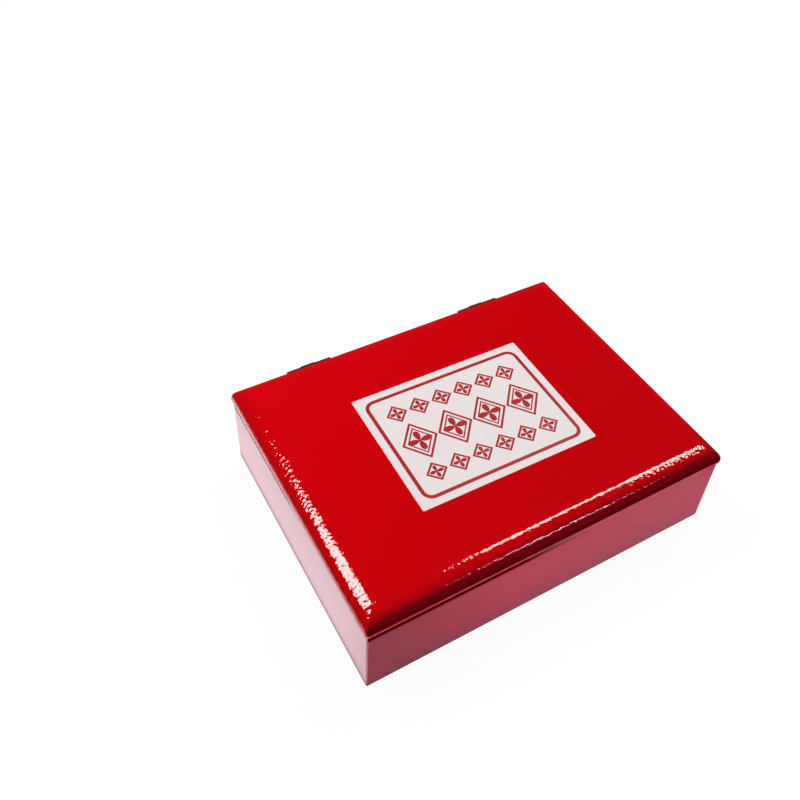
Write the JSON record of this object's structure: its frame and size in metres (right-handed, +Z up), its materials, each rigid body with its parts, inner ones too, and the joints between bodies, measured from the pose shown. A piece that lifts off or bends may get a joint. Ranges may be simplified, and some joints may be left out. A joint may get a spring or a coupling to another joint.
{
  "type": "seal paste box",
  "caption": "Flat hinged box in red leatherette with a padded glossy lid, holding a round covered dish of red seal paste and a spatula in a flocked insert.",
  "frame": {"origin": "centre of the underside of the case, on the surface that it stands on", "axes": "+X to the right along the long side, +Y to the back where the hinges are, +Z up"},
  "size_m": [0.111, 0.0874, 0.0298],
  "materials": {
    "wall_board": "bare fibreboard",
    "case_leatherette": "smooth satin red leatherette",
    "sheet_paper": "black paper",
    "yellow_satin": "golden satin",
    "flocked_foam": "flocked foam",
    "white_porcelain": "white glaze",
    "red_paste": "oily fibrous paste",
    "ivory_plastic": "polished",
    "hinge_bronze": "darkened brass",
    "pin_steel": "drawn wire",
    "padding_foam": "foam",
    "lid_leatherette": "glossy red grained leatherette",
    "label_foil": "silver-white coated paper",
    "lining_card": "grey card"
  },
  "bodies": {
    "case": {"front_wall": "wall_board", "back_wall": "wall_board", "left_wall": "wall_board", "right_wall": "wall_board", "base_panel": "wall_board", "case_wrap": "case_leatherette", "bottom_sheet": "sheet_paper", "wall_lining": "yellow_satin", "floor_lining": "yellow_satin", "insert_lower": "flocked_foam", "insert_upper": "flocked_foam", "paste_dish": "white_porcelain", "seal_paste": "red_paste", "dish_cover": "white_porcelain", "spatula": "ivory_plastic", "left_base_leaf": "hinge_bronze", "right_base_leaf": "hinge_bronze", "left_hinge_pin": "pin_steel", "right_hinge_pin": "pin_steel", "base_screws": "hinge_bronze"},
    "lid": {"lid_panel": "wall_board", "lid_padding": "padding_foam", "lid_wrap": "lid_leatherette", "lid_label": "label_foil", "lid_card": "lining_card", "lid_satin_pad": "yellow_satin", "left_lid_leaf": "hinge_bronze", "right_lid_leaf": "hinge_bronze", "lid_screws": "hinge_bronze"}
  },
  "joints": [
    {"name": "lid_hinge", "type": "hinge", "parent": "case", "child": "lid", "pos_m": [0, 0.04335, 0.025], "axis": [-1, 0, 0], "range_deg": [0, 100]}
  ]
}
